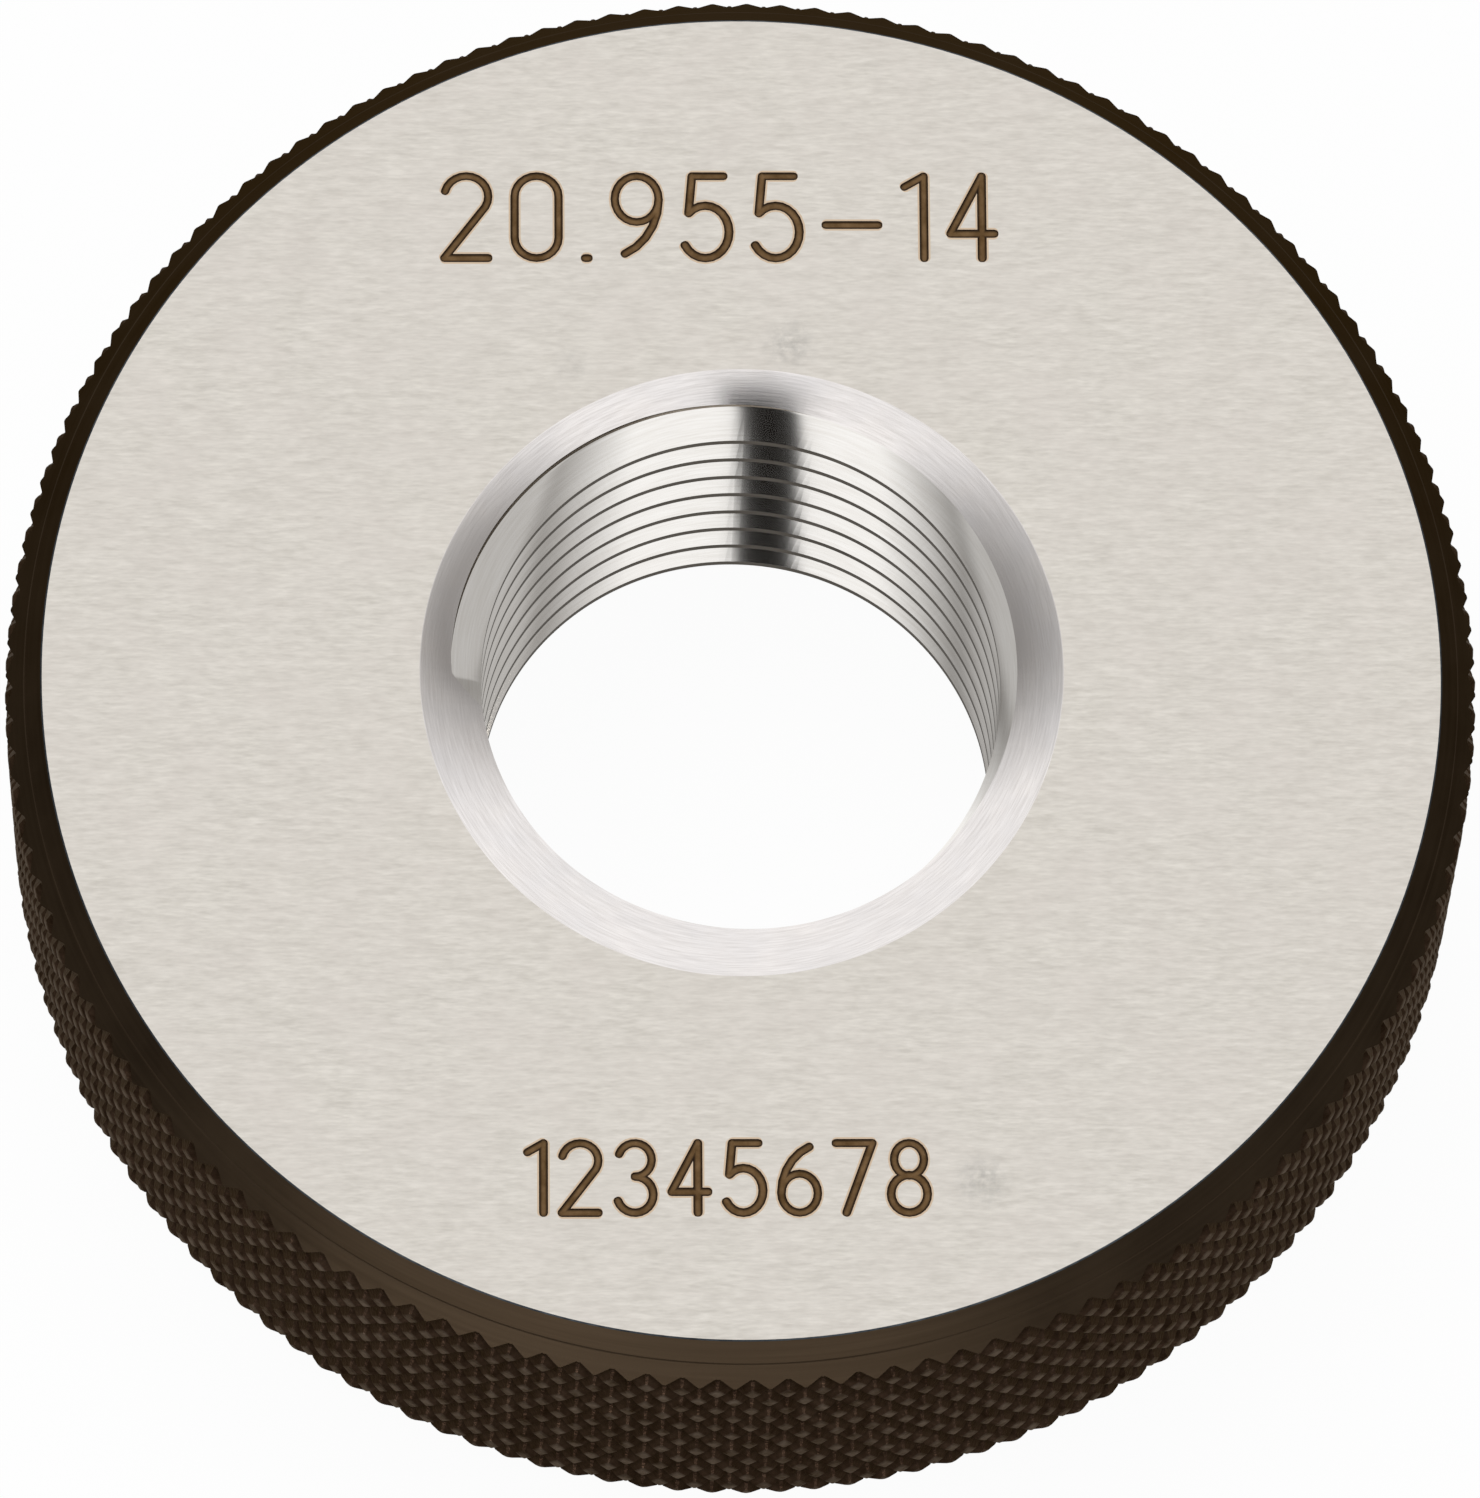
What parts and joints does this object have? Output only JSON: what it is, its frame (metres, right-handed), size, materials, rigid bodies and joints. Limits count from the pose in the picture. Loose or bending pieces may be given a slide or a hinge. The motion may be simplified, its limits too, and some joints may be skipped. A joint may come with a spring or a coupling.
{
  "type": "thread ring gauge",
  "caption": "Steel ring gauge for checking a G 1/2 male pipe thread: a thick ground ring with a diamond-knurled rim, bevelled edges and a countersunk threaded bore.",
  "frame": {"origin": "centre of the lower face", "axes": "+Z along the axis of the thread, up through the marked face; +X along the lines of marking"},
  "size_m": [0.0526, 0.0526, 0.016],
  "materials": {
    "gauge_steel": "ground faces and turned bore bright, knurled rim and bevels oxidised dark brown"
  },
  "bodies": {
    "root": {"gauge_ring": "gauge_steel"}
  },
  "joints": []
}
